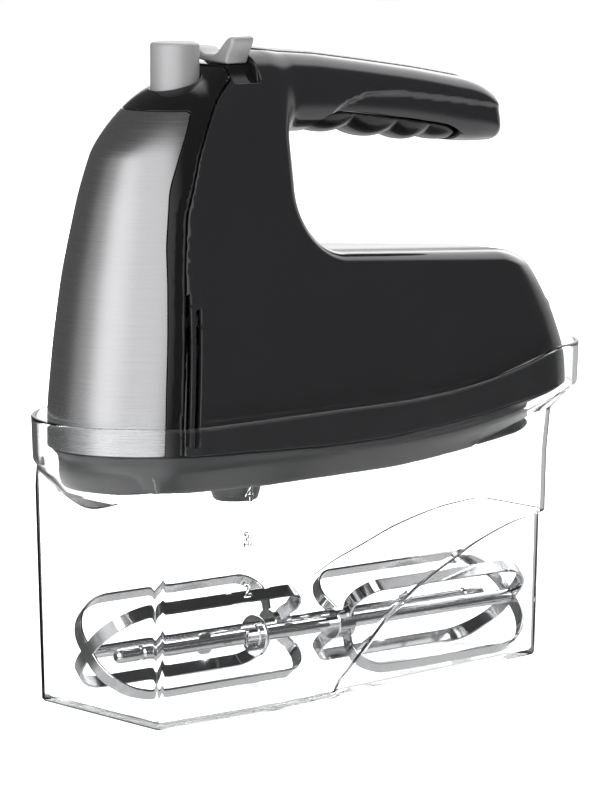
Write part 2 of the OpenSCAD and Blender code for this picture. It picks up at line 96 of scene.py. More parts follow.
# ---------- the mixer's form, in millimetres ----------
nose = table([(40, -126.4), (120, -126.7), (146, -123.7), (171, -120), (187, -116.4), (203, -112.7),
              (220, -107.2), (232, -101), (245, -93), (262, -82)], 4)
side = table([(40, 38), (130, 38), (150, 37.5), (180, 35), (205, 31), (225, 26), (245, 20), (262, 16)], 6)
rear = table([(40, 126.2), (118, 126.2), (129, 125), (144, 119), (158, 111), (165, 106), (172, 99),
              (190, 84)], 3)
rear_side = table([(40, 29), (125, 29), (150, 27), (175, 22), (200, 18)], 6)
top_line = table([(-150, 202), (-97, 234.5), (-87, 241), (-78, 245.5), (-68, 248.3), (-57, 250), (-45, 252),
                  (-20, 252), (130, 244)], 3)
handle_top = table([(-70, 246), (-56, 253), (-45, 257), (-35, 257.8), (-9, 255.5), (17, 251.8), (44, 247.7),
                    (71, 242.8), (79, 240.4), (86, 236.5), (95, 229)], 3)
handle_low = table([(-70, 226), (-31, 224.5), (10, 223.5), (33, 221.5), (50, 219), (62, 216.8), (75, 215.3),
                    (100, 215)], 4)
handle_w = table([(-70, 18.5), (-40, 18.2), (0, 17.6), (60, 17.2), (80, 16.2), (92, 13.5), (100, 11)], 3)
recess_line = table([(-30, 210), (-16, 221), (-9, 229), (0, 235), (12, 238.4), (30, 237.8), (60, 233.8),
                     (80, 230.8), (97, 227)], 2)
crease = table([(60, -98), (117, -98), (177, -94), (197, -91), (219, -82), (229, -76), (237, -70), (249, -57),
                (262, -38)], 2)
steel_edge = table([(60, -106), (107, -105), (130, -104), (185, -100), (207, -96), (222, -89), (235, -81),
                    (250, -71)], 3)
# the gap under the handle: its front wall, its inner corner and the rounding of its edges
GAP_X, GAP_CORNER, GAP_EDGE = -31.0, 25, 6.5
STEEL_TOP, STEEL_LOW = 236.0, 105.5
HANDLE_END, HANDLE_ROOT = 92.4, -62
RECESS_DEEP = 1.5
BLEND = 9
# how far the spine lies under the side shells, beside them and further in
SPINE_LOW, SPINE_DEEP = 0.25, 0.75


def deck(x):
    """Height of the flat top behind the handle gap."""
    return 175.2 - 0.057 * x


parting = table([(-100, 105), (-68, 103.8), (-25, 102), (8, 102), (42, 104.4), (70, 107.4), (90, 110.4),
                 (109, 113.4), (126, 114)], 4)


def handle_field(x, y, z):
    top, low = handle_top(x), handle_low(x)
    w = handle_w(x) - RECESS_DEEP * step(-1.3, 1.3, recess_line(x) - z) * step(-16, 0, x)
    f = squircle(y, z - (top + low) / 2, w, (top - low) / 2, 2.7)
    f = rmax(f, x + 0.22 * (z - 222) - HANDLE_END, 7)
    return rmax(f, HANDLE_ROOT - x, 5)


def body_field(x, y, z):
    """Outside of the whole housing: an egg-shaped section, less the handle gap, plus the handle."""
    r1, r2 = side(z), rear_side(z)
    e = egg(x, y, nose(z) + r1, r1, rear(z) - r2, r2)
    e = rmax(e, (z - top_line(x) + y * y / 80) / 1.12, BLEND)
    gap = rmax(GAP_X - x, deck(x) - z + y * y / 400, GAP_CORNER)
    e = rmax(e, -gap, GAP_EDGE)
    e = smin(e, handle_field(x, y, z), BLEND)
    d = x - crease(z)
    return e + (SPINE_LOW + SPINE_DEEP * step(-4.2, -0.8, d)) * step(0.5, -0.5, d)


def front_side(x, z):
    """Signed distance to the crease, negative towards the nose."""
    slope = crease(z + 0.5) - crease(z - 0.5)
    return (x - crease(z)) / np.sqrt(1 + slope ** 2)


def steel_side(x, z):
    """Signed distance to the outline of the steel cover, negative inside it."""
    slope = steel_edge(z + 0.5) - steel_edge(z - 0.5)
    across = (x - steel_edge(z)) / np.sqrt(1 + slope ** 2)
    return np.maximum(across, np.maximum(z - STEEL_TOP, STEEL_LOW - z))


# ---------- meshes from fields ----------
CORNERS = [(i, j, k) for i in (0, 1) for j in (0, 1) for k in (0, 1)]
CELL_EDGES = [(a, b) for a in CORNERS for b in CORNERS
              if sum(b) - sum(a) == 1 and all(q >= p for p, q in zip(a, b))]


def run_of(line):
    """Length along an open line at each of its points."""
    return np.concatenate([[0], np.cumsum(np.linalg.norm(np.diff(line, axis=0), axis=1))])


def gradient(f, p, h=0.05):
    """Slope of a field at points p."""
    g = np.empty_like(p)
    for i in range(3):
        d = np.zeros(3)
        d[i] = h
        g[:, i] = (f(*(p + d).T) - f(*(p - d).T)) / (2 * h)
    return g


def settle(f, p, rounds=4, limit=0.8):
    """Moves points onto f = 0."""
    for _ in range(rounds):
        g = gradient(f, p)
        move = g * (f(*p.T) / np.maximum((g ** 2).sum(1), 1e-6))[:, None]
        size = np.linalg.norm(move, axis=1, keepdims=True)
        p = p - move * np.minimum(1, limit / np.maximum(size, 1e-9))
    return p


def skin(f, low, high, cell=1.3):
    """Triangles of the surface f = 0 by surface nets."""
    low = np.array(low, float)
    n = np.ceil((np.array(high) - low) / cell).astype(int) + 1
    grid = np.meshgrid(*[low[i] + cell * np.arange(n[i]) for i in range(3)], indexing="ij")
    v = f(*grid)
    inside = v < 0
    total = sum(inside[i:n[0] - 1 + i, j:n[1] - 1 + j, k:n[2] - 1 + k].astype(np.int8) for i, j, k in CORNERS)
    active = (total > 0) & (total < 8)
    index = np.full(active.shape, -1)
    cells = np.argwhere(active)
    index[active] = np.arange(len(cells))
    place, count = np.zeros((len(cells), 3)), np.zeros(len(cells))
    for a, b in CELL_EDGES:
        va, vb = v[tuple((cells + a).T)], v[tuple((cells + b).T)]
        cross = (va < 0) != (vb < 0)
        t = np.where(cross, va / np.where(cross, va - vb, 1), 0)
        place += np.where(cross[:, None], np.array(a) + t[:, None] * (np.array(b) - np.array(a)), 0)
        count += cross
    p = settle(f, low + cell * (cells + place / count[:, None]))
    quads = []
    for d in range(3):
        u, w = (d + 1) % 3, (d + 2) % 3
        one, two = [slice(None)] * 3, [slice(None)] * 3
        one[d], two[d] = slice(None, -1), slice(1, None)
        a, b = inside[tuple(one)], inside[tuple(two)]
        at = np.argwhere(a != b)
        at = at[(at[:, u] > 0) & (at[:, w] > 0) & (at[:, u] < n[u] - 1) & (at[:, w] < n[w] - 1)]
        flip = ~a[tuple(at.T)]
        ring = []
        for du, dw in ((0, 0), (-1, 0), (-1, -1), (0, -1)):
            c = at.copy()
            c[:, u] += du
            c[:, w] += dw
            ring.append(index[tuple(c.T)])
        q = np.stack(ring, 1)
        q[flip] = q[flip][:, ::-1]
        quads.append(q)
    q = np.concatenate(quads)
    short = np.linalg.norm(p[q[:, 0]] - p[q[:, 2]], axis=1) < np.linalg.norm(p[q[:, 1]] - p[q[:, 3]], axis=1)
    tris = np.concatenate([np.where(short[:, None], q[:, [0, 1, 2]], q[:, [0, 1, 3]]),
                           np.where(short[:, None], q[:, [0, 2, 3]], q[:, [1, 2, 3]])])
    return p, tris


def clip(mesh, f, g, near=0.4):
    """The part of a skin of f where g < 0, with a clean edge along g = 0."""
    p, t = mesh
    p = p.copy()

    def land(q):
        for _ in range(3):
            q = settle(g, q, 2)
            q = settle(f, q, 1)
        return settle(g, q, 1)

    s = g(*p.T)
    close = np.abs(s) < near
    if close.any():
        p[close] = land(p[close])
        s[close] = 0
    sign = np.sign(s[t])
    whole = (sign <= 0).all(1) & (sign < 0).any(1)
    mixed = (sign < 0).any(1) & (sign > 0).any(1)
    out = [t[whole]]
    m, sg = t[mixed], sign[mixed]
    edges = np.concatenate([m[:, [0, 1]], m[:, [1, 2]], m[:, [2, 0]]])
    es = np.concatenate([sg[:, [0, 1]], sg[:, [1, 2]], sg[:, [2, 0]]])
    cut = np.sort(edges[es[:, 0] * es[:, 1] < 0], axis=1)
    if len(cut):
        cut = np.unique(cut, axis=0)
        a, b = s[cut[:, 0]], s[cut[:, 1]]
        fresh = land(p[cut[:, 0]] + (p[cut[:, 1]] - p[cut[:, 0]]) * (a / (a - b))[:, None])
        number = {(i, j): len(p) + k for k, (i, j) in enumerate(map(tuple, cut))}
        p = np.concatenate([p, fresh])
    more = []
    for tri, sn in zip(m.tolist(), sg.tolist()):
        poly = []
        for i in range(3):
            j = (i + 1) % 3
            if sn[i] <= 0:
                poly.append(tri[i])
            if sn[i] * sn[j] < 0:
                poly.append(number[(min(tri[i], tri[j]), max(tri[i], tri[j]))])
        more += [[poly[0], poly[k], poly[k + 1]] for k in range(1, len(poly) - 1)]
    if more:
        out.append(np.array(more))
    t = np.concatenate(out)
    used = np.unique(t)
    renumber = np.full(len(p), -1)
    renumber[used] = np.arange(len(used))
    return p[used], renumber[t]


def thicken(mesh, f, deep, edge=0.3):
    """Closed panel from an open skin: its outside, a bevelled rim and its inside.

    Returns points, faces, the outside's normals and the number of outside faces."""
    p, t = mesh
    p = p.copy()
    nrm = gradient(f, p)
    nrm /= np.linalg.norm(nrm, axis=1, keepdims=True)
    e = np.concatenate([t[:, [0, 1]], t[:, [1, 2]], t[:, [2, 0]]])
    key = np.sort(e, axis=1)
    _, first, count = np.unique(key, axis=0, return_index=True, return_counts=True)
    rim = e[first[count == 1]]
    out = np.zeros_like(p)
    d = np.cross(p[rim[:, 1]] - p[rim[:, 0]], nrm[rim[:, 0]] + nrm[rim[:, 1]])
    for i in (0, 1):
        np.add.at(out, rim[:, i], d)
    size = np.linalg.norm(out, axis=1)
    at = np.unique(rim)
    out[at] /= np.maximum(size[at], 1e-9)[:, None]
    original = p.copy()
    p[at] -= out[at] * edge
    n = len(p)
    lip = np.full(n, -1)
    lip[at] = n + np.arange(len(at))
    points = np.concatenate([p, original[at] - nrm[at] * edge, original - nrm * deep])
    inner = n + len(at)
    faces = [list(q) for q in t] + [[inner + c, inner + b, inner + a] for a, b, c in t]
    for a, b in rim:
        faces.append([a, lip[a], lip[b], b])
        faces.append([lip[a], inner + a, inner + b, lip[b]])
    return points, faces, nrm, len(t)


# ---------- making pieces ----------
def piece(name, points, faces, material, body, replaces=(), smooth=True, angle=None, normals=None):
    """Mesh object from points in millimetres, riding on a body."""
    me = bpy.data.meshes.new(name)
    me.from_pydata((np.array(points, float) * MM).tolist(), [], [[int(i) for i in f] for f in faces])
    me.validate()
    me.update()
    for q in me.polygons:
        q.use_smooth = smooth
    ob = bpy.data.objects.new(name, me)
    bpy.context.scene.collection.objects.link(ob)
    ob.data.materials.append(material)
    if angle is not None:
        me.set_sharp_from_angle(angle=math.radians(angle))
    if normals is not None:
        given, count = normals
        own = np.zeros((len(me.loops), 3))
        vi = np.zeros(len(me.loops), int)
        me.loops.foreach_get("vertex_index", vi)
        take = np.zeros(len(me.loops), bool)
        take[:count * 3] = True
        own[take] = given[vi[take]]
        me.normals_split_custom_set(own.tolist())
    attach(ob, body)
    if replaces:
        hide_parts(*replaces)
    return ob


def join(*parts):
    """Several (points, faces) as one."""
    points, faces, at = [], [], 0
    for p, f in parts:
        points.append(np.array(p, float))
        faces += [[at + int(i) for i in q] for q in f]
        at += len(p)
    return np.concatenate(points), faces


def lathe(profile, centre, n=64, closed=True):
    """Turned form about Z: profile is (radius, height) pairs, bottom first."""
    a = np.arange(n) * 2 * np.pi / n
    points, faces, rows = [], [], []
    for r, z in profile:
        if r <= 1e-6:
            rows.append([len(points)] * n)
            points.append((centre[0], centre[1], z))
        else:
            rows.append(list(range(len(points), len(points) + n)))
            points += [(centre[0] + r * math.cos(q), centre[1] + r * math.sin(q), z) for q in a]
    pairs = list(zip(rows, rows[1:])) + ([(rows[-1], rows[0])] if closed and profile[0][0] > 1e-6 else [])
    for lo, hi in pairs:
        for i in range(n):
            q = [lo[i], lo[(i + 1) % n], hi[(i + 1) % n], hi[i]]
            q = [v for k, v in enumerate(q) if v not in q[:k]]
            if len(q) > 2:
                faces.append(q)
    return np.array(points), faces


def rings_mesh(rings, cap=True):
    """Loft through rings of the same count, closed at both ends if cap."""
    n, m = len(rings[0]), len(rings)
    points = np.concatenate([np.array(r, float) for r in rings])
    faces = []
    for a in range(0, (m - 1) * n, n):
        faces += [[a + i, a + (i + 1) % n, a + n + (i + 1) % n, a + n + i] for i in range(n)]
    if cap:
        faces += [list(range(n))[::-1], [(m - 1) * n + i for i in range(n)]]
    return points, faces


# ---------- materials ----------
def feed(tree, socket, value):
    """Gives a socket a fixed value, or links an output to it."""
    if isinstance(value, bpy.types.NodeSocket):
        tree.links.new(value, socket)
    else:
        socket.default_value = value


def add_node(tree, kind, settings=None, inputs=None):
    """New shader node with its settings and named inputs."""
    node = tree.nodes.new("ShaderNode" + kind)
    for name, value in (settings or {}).items():
        setattr(node, name, value)
    for name, value in (inputs or {}).items():
        feed(tree, node.inputs[name], value)
    return node


def new_material(name, inputs):
    """Material with a Principled shader whose named inputs are set. Returns it, its tree and that shader."""
    m = bpy.data.materials.new(name)
    m.use_nodes = True
    surface = m.node_tree.nodes["Principled BSDF"]
    for socket, value in inputs.items():
        surface.inputs[socket].default_value = value
    return m, m.node_tree, surface


def choose(tree, factor, usual, other):
    """Sends a mix of two shaders to the material's output."""
    mix = add_node(tree, "MixShader", inputs={"Fac": factor})
    feed(tree, mix.inputs[1], usual.outputs["BSDF"])
    feed(tree, mix.inputs[2], other.outputs["BSDF"])
    tree.links.new(mix.outputs["Shader"], tree.nodes["Material Output"].inputs["Surface"])


def shader(name, colour, rough, metal=0.0, coat=0.0, grain=900.0, depth=0.02, vary=0.04, tint=0.06,
           stretch=(1, 1, 1), coat_rough=0.03, spec=0.5):
    """Material whose colour, roughness and bump come from noise: grain is its scale, depth the bump in mm."""
    m, tree, surface = new_material(name, {"Metallic": metal, "Coat Weight": coat,
                                           "Coat Roughness": coat_rough, "Specular IOR Level": spec})
    spot = add_node(tree, "TexCoord").outputs["Object"]
    drawn = add_node(tree, "Mapping", inputs={"Scale": stretch, "Vector": spot}).outputs["Vector"]
    fine = add_node(tree, "TexNoise", inputs={"Scale": grain, "Detail": 3, "Vector": drawn}).outputs["Fac"]
    wide = add_node(tree, "TexNoise", inputs={"Scale": 22, "Detail": 2, "Vector": spot}).outputs["Fac"]
    pattern = wide if stretch == (1, 1, 1) else fine
    ramp = add_node(tree, "MapRange", inputs={"To Min": max(0.01, rough - vary), "To Max": rough + vary,
                                              "Value": pattern})
    feed(tree, surface.inputs["Roughness"], ramp.outputs["Result"])
    mix = add_node(tree, "Mix", {"data_type": "RGBA"},
                   {"A": tuple(c * (1 - tint) for c in colour) + (1,),
                    "B": tuple(min(1, c * (1 + tint)) for c in colour) + (1,), "Factor": pattern})
    feed(tree, surface.inputs["Base Color"], mix.outputs["Result"])
    if depth > 0:
        bump = add_node(tree, "Bump", inputs={"Strength": 1.0, "Distance": depth * MM, "Height": fine})
        feed(tree, surface.inputs["Normal"], bump.outputs["Normal"])
    return m


def clear_plastic():
    """Clear moulded plastic that lets light reach what is behind it."""
    m, tree, surface = new_material("clear_plastic", {"Base Color": (0.985, 0.99, 0.992, 1),
                                                      "Transmission Weight": 1.0, "IOR": 1.38})
    spot = add_node(tree, "TexCoord").outputs["Object"]
    wave = add_node(tree, "TexNoise", inputs={"Scale": 30, "Vector": spot}).outputs["Fac"]
    ramp = add_node(tree, "MapRange", inputs={"To Min": 0.0, "To Max": 0.006, "Value": wave})
    feed(tree, surface.inputs["Roughness"], ramp.outputs["Result"])
    through = add_node(tree, "BsdfTransparent", inputs={"Color": (0.93, 0.935, 0.94, 1)})
    choose(tree, add_node(tree, "LightPath").outputs["Is Shadow Ray"], surface, through)
    return m


clear = clear_plastic()
black = shader("gloss_black", (0.010, 0.010, 0.011), 0.12, coat=0.6, depth=0.0, coat_rough=0.05, vary=0.03,
               tint=0.1)
spine_black = shader("deep_black", (0.004, 0.004, 0.004), 0.08, coat=0.3, depth=0.0, vary=0.02, spec=0.35)
band_black = shader("satin_base", (0.022, 0.022, 0.023), 0.32, grain=1600, depth=0.0003, vary=0.05)
grip_black = shader("grip_black", (0.006, 0.006, 0.006), 0.2, grain=2600, depth=0.004, vary=0.05)
rubber = shader("cord_rubber", (0.02, 0.02, 0.02), 0.5, grain=2200, depth=0.02)
brushed = shader("brushed_steel", (0.56, 0.56, 0.57), 0.27, metal=1.0, grain=40, depth=0.010, vary=0.07,
                 tint=0.10, stretch=(1, 1, 60))
silver = shader("satin_silver", (0.31, 0.31, 0.315), 0.38, metal=0.45, grain=3000, depth=0.002, vary=0.04,
                coat=0.2, coat_rough=0.2)
chrome = shader("chrome", (0.62, 0.62, 0.63), 0.09, metal=1.0, grain=500, depth=0.004, vary=0.03, tint=0.04)
slot_mats = {
    "white_nylon": shader("nylon", (0.80, 0.79, 0.75), 0.42, grain=700, depth=0.02),
    "spring_steel": shader("ground_steel", (0.5, 0.5, 0.5), 0.25, metal=1.0, grain=300, depth=0.006,
                           stretch=(1, 1, 8)),
    "board_green": shader("board", (0.02, 0.16, 0.06), 0.35, grain=500, depth=0.02, tint=0.3),
    "lamination_steel": shader("laminations", (0.30, 0.31, 0.33), 0.38, metal=1.0, grain=160, depth=0.05,
                               stretch=(14, 0.2, 0.2), tint=0.25),
    "copper_winding": shader("winding", (0.55, 0.22, 0.08), 0.32, metal=1.0, grain=260, depth=0.15,
                             stretch=(1, 1, 6), tint=0.35),
    "copper_bars": shader("copper", (0.72, 0.35, 0.16), 0.28, metal=1.0, grain=300, depth=0.01),
    "zinc_frame": shader("die_cast", (0.55, 0.55, 0.56), 0.45, metal=0.9, grain=500, depth=0.04),
    "bronze": shader("sintered_bronze", (0.55, 0.36, 0.14), 0.4, metal=1.0, grain=1500, depth=0.02),
    "brass_parts": shader("brass", (0.75, 0.56, 0.22), 0.28, metal=1.0, grain=400, depth=0.008),
    "carbon": shader("pressed_carbon", (0.03, 0.03, 0.03), 0.6, grain=1200, depth=0.03, tint=0.3),
    "dark_plastic": band_black, "black_plastic": black, "satin_black": black, "grip_rubber": rubber,
    "satin_silver": silver, "brushed_cover": brushed, "chrome_wire": chrome,
}

# ---------- camera ----------
CAMERA_PLACE = (-1159.1, -1373.4, 367.0)
CAMERA_TURN, CAMERA_TILT = math.radians(40), math.radians(8)
cam_data = bpy.data.cameras.new("camera")
cam_data.sensor_width = 36
cam_data.lens = 202.5
cam_data.clip_end = 20
cam = bpy.data.objects.new("camera", cam_data)
bpy.context.scene.collection.objects.link(cam)
cam.location = Vector(CAMERA_PLACE) * MM
level = math.cos(CAMERA_TILT)
ahead = Vector((math.sin(CAMERA_TURN) * level, math.cos(CAMERA_TURN) * level, -math.sin(CAMERA_TILT)))
cam.rotation_mode = "QUATERNION"
cam.rotation_quaternion = ahead.to_track_quat("-Z", "Y")
bpy.context.scene.camera = cam

# ---------- carried-over inner parts ----------
slot_of = {s["node"]: s.get("material_slot") for s in frame["record"].get("subparts", [])}
for name, ob in NODES.items():
    ob.data.materials.clear()
    ob.data.materials.append(slot_mats.get(slot_of.get(name), band_black))

# ---------- housing ----------
SHELL_WALL, SPINE_WALL, PAN_WALL, COVER_SHEET = 2.4, 3.0, 2.2, 1.0
FIT = 0.15      # clearance around an inset piece
SEAM = 0.14     # half of the groove between the spine and the shells
shell_skin = skin(body_field, (-130, -42, 96), (130, 42, 262), 1.35)
above = clip(shell_skin, body_field, lambda x, y, z: parting(x) + 0.35 - z)
# front, rear and lowest height of the pedestal's place, and the height at which the selector's place starts
SEAT_FRONT, SEAT_REAR, SEAT_LOW, SELECTOR_LOW = -57.6, -45.0, 245.8, 252.0
# vents as (place, half width, top)
VENTS = ((-96.4, 0.8, 168), (-92.3, 1.1, 161.5))
VENT_LOW, VENT_LEAN = 108, 0.045
grip_top = table([(-30, 216), (-14, 226), (-8, 230.5), (0, 232), (12, 230.5), (40, 226.5), (58, 223.5),
                  (66, 220), (80, 212)], 2)


def grip_zone(x, y, z):
    """Negative inside the finger grip's seat."""
    return np.maximum(np.maximum(z - grip_top(x), 200 - z), np.maximum(-14 - x, x - 66))


def selector_zone(x, y, z):
    """Negative where the pedestal and the selector stand."""
    block = np.maximum(np.maximum(x - SEAT_REAR, SEAT_FRONT - x), SEAT_LOW - z)
    return np.minimum(block, np.maximum(np.maximum(x - SEAT_REAR, -x - 80), SELECTOR_LOW - z))


def vent_zone(x, y, z):
    """Negative inside the two upright vents behind the crease."""
    lean = x - VENT_LEAN * (z - VENT_LOW)
    first, second = [np.maximum(np.abs(lean - at) - half, z - top) for at, half, top in VENTS]
    return np.maximum(np.minimum(first, second), VENT_LOW - z)


def not_in(zone, gap):
    """Field that is negative outside a zone, by at least gap."""
    return lambda x, y, z: gap - zone(x, y, z)


def shell(name, s):
    """Side shell with its half of the handle; s is its side of the middle plane."""
    part = clip(above, body_field, lambda x, y, z: SEAM - front_side(x, z))
    part = clip(part, body_field, lambda x, y, z: 0.09 - s * y)
    part = clip(part, body_field, not_in(grip_zone, FIT))
    part = clip(part, body_field, not_in(selector_zone, FIT))
    part = clip(part, body_field, not_in(vent_zone, 0), 0.25)
    pts, faces, nrm, count = thicken(part, body_field, SHELL_WALL)
    piece(name, pts, faces, black, "mixer", [name], normals=(nrm, count))


shell("left_shell", -1)
shell("right_shell", 1)

# spine: gloss black, with a hole for the button and an opening for the steel cover
BUTTON_X, BUTTON_R, BUTTON_TOP = -72.5, 9.6, 261.5


def button_hole(x, y, z):
    """Negative in the spine outside the button's hole."""
    return np.minimum(BUTTON_R + 0.35 - np.hypot(x - BUTTON_X, y), z - 225)


spine = clip(above, body_field, lambda x, y, z: front_side(x, z) + SEAM)
spine = clip(spine, body_field, lambda x, y, z: 0.12 - steel_side(x, z))
spine = clip(spine, body_field, not_in(selector_zone, FIT))
spine = clip(spine, body_field, button_hole)
pts, faces, nrm, count = thicken(spine, body_field, SPINE_WALL)
piece("spine_cover", pts, faces, spine_black, "mixer", ["spine_cover"], normals=(nrm, count))


# black seat under the steel cover
def seat_field(x, y, z):
    return body_field(x, y, z) + 1.4


seat = skin(seat_field, (-128, -40, 96), (-70, 40, 242), 2.0)
seat = clip(seat, seat_field, lambda x, y, z: np.maximum(steel_side(x, z) - 1.5, parting(x) + 0.4 - z))
pts, faces, nrm, count = thicken(seat, seat_field, 1.2, 0.05)
piece("cover_seat", pts, faces, spine_black, "mixer")

# steel cover
steel = skin(body_field, (-130, -42, 100), (-74, 42, 240), 1.1)
steel = clip(steel, body_field, lambda x, y, z: steel_side(x, z) + 0.13)
pts, faces, nrm, count = thicken(steel, body_field, COVER_SHEET, 0.18)
piece("front_cover", pts, faces, brushed, "mixer", ["front_cover"], normals=(nrm, count))


# base pan: a band under the parting line and a narrower pan below it
def base_low(x):
    """Height of the pan's underside."""
    return 90.2 - 1.2 * step(-90, -45, x) + 8 * np.clip((x - 10) / 90, 0, 1) ** 1.5


def base_field(x, y, z):
    t = np.clip((z - base_low(x)) / (parting(x) - base_low(x)), 0, 1)
    band = step(0.72, 1.0, t)
    lip = step(0.17, 0.09, t)
    f = egg(x, y, -86 - 1.2 * band, 35.1 + 1.0 * t + 1.3 * band, 79.5 + 3 * t + 14.4 * band + 2.2 * lip,
            24 + 0.6 * t + 3.6 * band)
    return rmax(f, base_low(x) - z, 1.6)


SPINDLE_X, SPINDLE_Y = -59.0, 19.5
pan = skin(base_field, (-130, -42, 86), (130, 42, 140), 1.2)
pan = clip(pan, base_field, lambda x, y, z: z - parting(x) + 0.3)
pts, faces, nrm, count = thicken(pan, base_field, PAN_WALL)
boss = [(6.9, 83.0), (8.0, 83.0), (8.7, 83.6), (9.4, 86.0), (10.6, 91.0), (10.6, 93.5), (6.9, 93.5)]
pts, faces = join((pts, faces), *[lathe(boss, (SPINDLE_X, s * SPINDLE_Y)) for s in (-1, 1)])
piece("base_pan", pts, faces, band_black, "mixer", ["base_pan"], angle=35)


# finger grip: gloss insert with three bulges and a short fourth one under it
def lobes(x):
    """Lowest height of the grip."""
    low = 226.4 - 0.14 * x
    for a0, a1, deep in ((-14, 9.8, 3.6), (9.8, 32.6, 3.3), (32.6, 50.0, 2.7), (50.0, 66.5, 1.2)):
        t = np.clip((x - a0) / (a1 - a0), 0, 1)
        low = low - deep * np.sin(np.pi * t) ** 0.8
    return low


def grip_field(x, y, z):
    low = lobes(x)
    top = grip_top(x)
    w = 15.4 - 0.012 * np.clip(x, 0, 80)
    bottom = squircle(y, z - (low + 16), w, 16, 2.4)
    return rmax(rmax(bottom, (z - top) * 0.9, 0.8), np.maximum(-13.6 - x, x - 65.6), 1.2)


pts, faces = skin(grip_field, (-18, -20, 208), (70, 20, 238), 0.9)
piece("finger_grip", pts, faces, grip_black, "mixer", ["finger_grip"])


# handle cap: a slim inlay along the top of the handle
def cap_field(x, y, z):
    """A long oval patch of the housing's outside, 1.6 mm deep and 0.35 mm proud."""
    body = body_field(x, y, z)
    oval = egg(x, y, -33.0, 8.6, 66.0, 7.6)
    return rmax(rmax(body - 0.35, oval, 0.5), -(body + 1.6), 0.3)


pts, faces = skin(cap_field, (-44, -12, 236), (76, 12, 262), 0.9)
piece("handle_cap", pts, faces, black, "mixer", ["handle_cap"])

# ---------- controls ----------
r, top = BUTTON_R, BUTTON_TOP
cap = lathe([(0, 232), (r, 232), (r, top - 1.3), (r - 0.3, top - 0.5), (r - 0.9, top - 0.08), (r - 1.6, top),
             (0, top)], (BUTTON_X, 0), 96, closed=False)
stem = lathe([(0, 158), (3, 158), (3, 231.9), (0, 231.9)], (BUTTON_X, 0), 32, closed=False)
pts, faces = join(cap, stem)
piece("eject_button", pts, faces, silver, "button", ["eject_button"], angle=40)

# pedestal: waisted block between the spine and the selector, and the plate that closes the handle's front end
SELECTOR_X = -51.0
CORNERS_CUT = ((-1, -0.96), (-0.96, -1), (0.96, -1), (1, -0.96), (1, 0.96), (0.96, 1), (-0.96, 1), (-1, 0.96))
waist = ((240.5, 18.0), (244.5, 17.4), (247.0, 15.4), (249.4, 13.4), (251.2, 12.5), (252.3, 12.4))
block = [[(SELECTOR_X + dx * 5.6, dy * half, z) for dx, dy in CORNERS_CUT] for z, half in waist]
PLATE_LOW = 236.0
plate_top, plate_w = handle_top(SEAT_REAR), handle_w(SEAT_REAR)
turn = np.linspace(0, 2 * np.pi, 49)[:-1]
round_y, round_z = [np.sign(c) * np.abs(c) ** 0.74 for c in (np.cos(turn), np.sin(turn))]
middle, half = (plate_top + PLATE_LOW) / 2, (plate_top - PLATE_LOW) / 2
plate = [np.column_stack([np.full(48, x), (plate_w - inset) * round_y,
                          middle + (half - inset - 0.6) * round_z])
         for x, inset in ((-45.5, 0.9), (-45.2, 0.4), (-43.6, 0.4))]
pts, faces = join(rings_mesh(block), rings_mesh(plate))
piece("pedestal", pts, faces, spine_black, "mixer", ["pedestal"], angle=30)


def even(line, n):
    """n points evenly along an open line."""
    line = np.array(line, float)
    d = run_of(line)
    t = np.linspace(0, d[-1], n)
    return np.stack([np.interp(t, d, line[:, 0]), np.interp(t, d, line[:, 1])], 1)


def saddle_top(y):
    """Height of the selector's top: a tall wing on the near side and a low one on the far side."""
    near, far = 7.3 * step(0.2, 0.93, -y / 15.3), 2.6 * step(0.08, 0.55, y / 15.3)
    return float(256.1 + (near if y < 0 else far))


def selector():
    """Wave-shaped bar: a saddle between two wings that flare upwards."""
    n = 61
    top = [(y, saddle_top(y)) for y in np.linspace(-15.3, 15.3, n)]
    low = [(-15.9, 262.9), (-16.0, 261.9), (-15.6, 260.4), (-14.6, 258.6), (-13.4, 256.6), (-12.4, 254.6),
           (-11.9, 253.0), (-11.5, 252.7), (0, 252.9), (8, 254.2), (13.5, 255.4), (15.2, 255.8),
           (15.9, 256.6), (15.9, 257.8)]
    top, low = even(top, n), even(low, n)
    loop = np.concatenate([top, low[::-1]])
    d = np.roll(loop, -1, 0) - np.roll(loop, 1, 0)
    out = np.stack([-d[:, 1], d[:, 0]], 1)
    out /= np.maximum(np.linalg.norm(out, axis=1, keepdims=True), 1e-9)
    rounding = ((5.5, 1.0), (5.3, 0.5), (4.9, 0.16), (4.3, 0))
    rows = []
    for dx, inset in [(-dx, inset) for dx, inset in rounding] + list(rounding[::-1]):
        rows.append([(SELECTOR_X + dx, y, z) for y, z in loop - out * inset])
    pts, faces = rings_mesh(rows, cap=False)
    m = 2 * n
    last = (len(rows) - 1) * m
    for i in range(n - 1):
        q = [i, i + 1, m - 2 - i, m - 1 - i]
        faces.append(q)
        faces.append([last + k for k in q[::-1]])
    return pts, faces


pts, faces = selector()
piece("speed_selector", pts, faces, silver, "selector", ["speed_selector"], angle=38)

# ---------- cord inlet ----------
INLET_X, INLET_Z = 106, 142
prof = [(3.4, 0), (9, 0), (9, 3.4), (8.6, 4)]
for k in range(5):
    z, r = 5 + k * 2.4, 7.0 - 0.12 * k
    prof += [(r, z - 0.4), (r, z + 0.6), (r - 0.7, z + 0.9), (r - 0.7, z + 1.6)]
prof += [(6.2, 16.6), (5.7, 17.0), (3.4, 17.0)]
pts, faces = lathe(prof, (0, 0), 40)
pts = np.stack([INLET_X + pts[:, 2], pts[:, 1], INLET_Z - pts[:, 0]], 1)
piece("cord_inlet", pts, faces, rubber, "mixer", ["cord_inlet"], angle=40)


# ---------- storage case ----------
def spread(a, b, n):
    """n points from a towards b, b left out."""
    return [(a[0] + (b[0] - a[0]) * k / n, a[1] + (b[1] - a[1]) * k / n) for k in range(n)]


